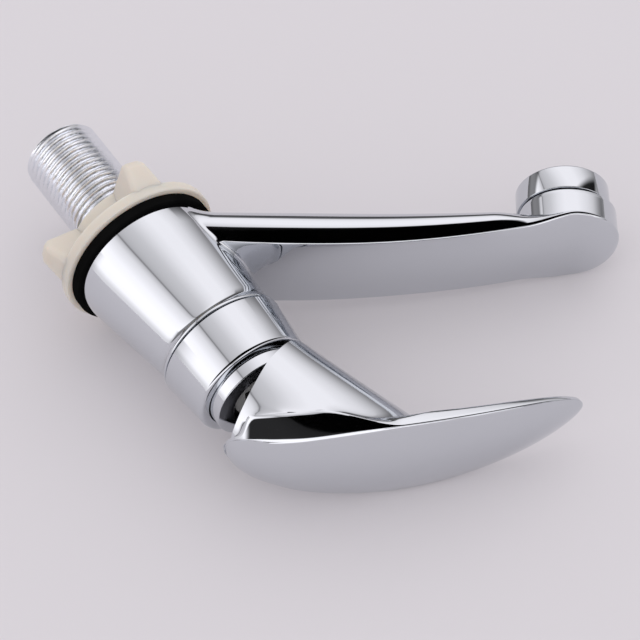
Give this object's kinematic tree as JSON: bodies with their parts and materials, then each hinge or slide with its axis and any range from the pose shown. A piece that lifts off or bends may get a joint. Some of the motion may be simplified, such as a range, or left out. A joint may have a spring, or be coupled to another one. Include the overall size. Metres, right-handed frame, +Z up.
{
  "type": "bathroom sink faucet",
  "caption": "Single-lever cold pillar tap for a wash basin: tapered body, long low spout with aerator, leaf-shaped lever, threaded inlet shank with gasket and plastic wing nut",
  "frame": {"origin": "centre of the casting's round base, on the plane that rests on the basin's deck", "axes": "+Z up along the inlet shank and body, +X towards the spout's outlet, +Y to the tap's left"},
  "size_m": [0.1343, 0.047, 0.1409],
  "materials": {
    "bright_chrome": "mirror chrome plating over brass or zinc",
    "plated_thread": "dull plated machined thread",
    "black_rubber": "matt",
    "ivory_plastic": "smooth moulded, slightly translucent",
    "raw_brass": "machined",
    "plain_steel": "turned",
    "cartridge_plastic": "moulded",
    "ceramic": "lapped",
    "aerator_plastic": "moulded"
  },
  "bodies": {
    "tap_body": {"body_casting": "bright_chrome", "inlet_shank": "plated_thread", "shank_washer": "black_rubber", "inlet_port_seal": "black_rubber", "outlet_port_seal": "black_rubber", "cartridge_base": "cartridge_plastic", "fixed_ceramic_disc": "ceramic", "cartridge_housing": "cartridge_plastic", "lever_guide": "cartridge_plastic", "guide_seal": "black_rubber", "spindle_pivot_pin": "plain_steel", "cartridge_nut": "raw_brass", "collar_grip_ring": "black_rubber", "collar": "bright_chrome", "neck_ring": "bright_chrome", "aerator_housing": "bright_chrome", "aerator_washer": "black_rubber", "aerator_core": "aerator_plastic", "aerator_screen": "aerator_plastic"},
    "lever": {"lever_spindle": "plain_steel", "handle": "bright_chrome", "handle_set_screw": "plain_steel", "index_plug": "bright_chrome"},
    "disc_slider": {"moving_ceramic_disc": "ceramic", "disc_carrier": "cartridge_plastic"},
    "gasket": {"base_gasket": "black_rubber"},
    "backnut": {"wing_backnut": "ivory_plastic"}
  },
  "joints": [
    {"name": "handle_lift", "type": "hinge", "parent": "tap_body", "child": "lever", "pos_m": [0.0018, 0, 0.046], "axis": [0, -1, 0], "range_deg": [0, 25]},
    {"name": "disc_slide", "type": "slide", "parent": "tap_body", "child": "disc_slider", "axis": [1, 0, 0], "range_m": [0, 0.005]},
    {"name": "gasket_slide", "type": "slide", "parent": "tap_body", "child": "gasket", "axis": [0, 0, -1], "range_m": [0, 0.024]},
    {"name": "backnut_turn", "type": "hinge", "parent": "gasket", "child": "backnut", "pos_m": [0, 0, -0.008], "axis": [0, 0, -1], "range_deg": [0, 4765]}
  ],
  "couplings": [
    {"joint": "disc_slide", "follows": "handle_lift", "m_per_rad": 0.01141},
    {"joint": "backnut_turn", "follows": "gasket_slide", "rad_per_m": 3463.7}
  ]
}
